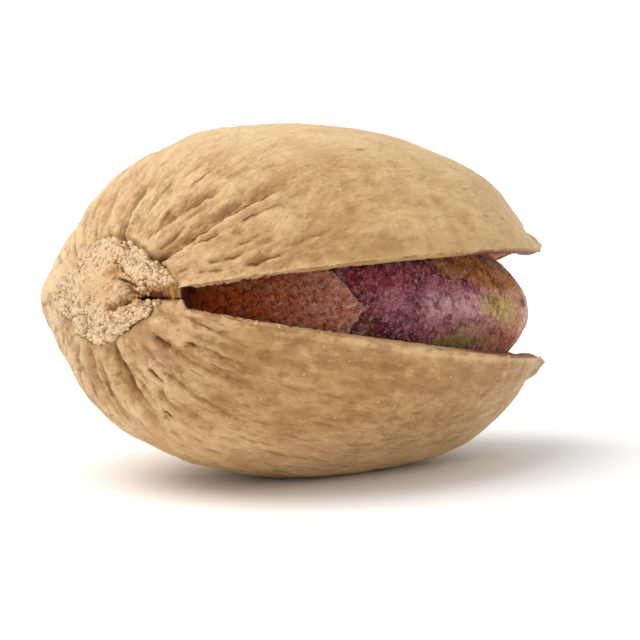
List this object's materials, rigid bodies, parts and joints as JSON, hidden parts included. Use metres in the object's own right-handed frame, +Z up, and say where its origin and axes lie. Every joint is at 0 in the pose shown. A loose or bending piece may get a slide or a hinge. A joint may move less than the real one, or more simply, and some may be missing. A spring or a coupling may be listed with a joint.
{
  "type": "pistachio in shell",
  "caption": "Pistachio nut in its split hard shell, lying on its lower valve with the slit to the front, showing the kernel and its torn inner skin.",
  "frame": {"origin": "on the surface the nut lies on, below the middle of its box", "axes": "+Z up, +X from the stem end to the tip, -Y towards the slit that shows the kernel"},
  "size_m": [0.0194, 0.013, 0.0118],
  "materials": {
    "shell": "dry cream-tan nutshell, smooth on the swell, rough and porous at the stem scar",
    "kernel": "matt mauve seed skin with a fine pale web, worn through to yellow-green near the tip",
    "torn_skin": "matt brown papery skin with a fuzzy torn edge"
  },
  "bodies": {
    "root": {"shell": "shell", "kernel": "kernel", "torn_skin": "torn_skin"}
  },
  "joints": []
}
